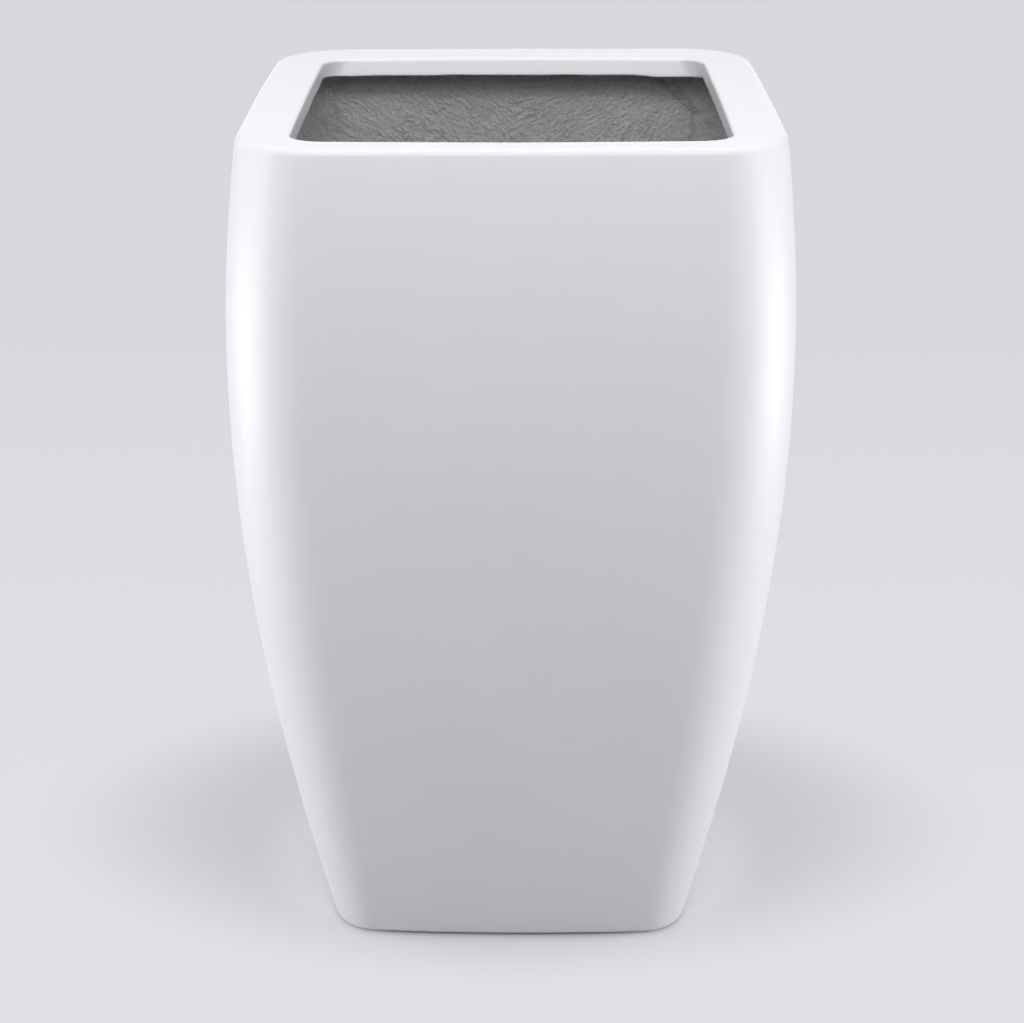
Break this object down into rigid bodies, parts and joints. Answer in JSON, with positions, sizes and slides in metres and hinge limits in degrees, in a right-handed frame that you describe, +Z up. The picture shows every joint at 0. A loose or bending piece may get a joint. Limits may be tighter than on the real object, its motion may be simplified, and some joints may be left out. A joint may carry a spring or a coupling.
{
  "type": "planter",
  "caption": "Tall square planter with bowed tapering sides, rounded corners, a flat folded-in rim, a rough grey laminate lining, and a drain plug in the floor.",
  "frame": {"origin": "centre of the footprint, on the floor that the feet stand on", "axes": "+Z up; +X to the right and -Y to the front of the planter, whose four sides are alike"},
  "size_m": [0.509, 0.509, 0.8],
  "materials": {
    "white_gelcoat": "smooth satin to gloss white gel coat",
    "grey_laminate": "rough hand-laid glass-fibre laminate, grey",
    "drain_rubber": "matt black moulded rubber",
    "foot_rubber": "matt dark grey self-adhesive rubber"
  },
  "bodies": {
    "planter": {"outer_shell": "white_gelcoat", "inner_laminate": "grey_laminate", "foot_front_left": "foot_rubber", "foot_front_right": "foot_rubber", "foot_back_left": "foot_rubber", "foot_back_right": "foot_rubber"},
    "plug": {"drain_plug": "drain_rubber"}
  },
  "joints": [
    {"name": "plug_lift", "type": "slide", "parent": "planter", "child": "plug", "axis": [0, 0, 1], "range_m": [0, 0.82]}
  ]
}
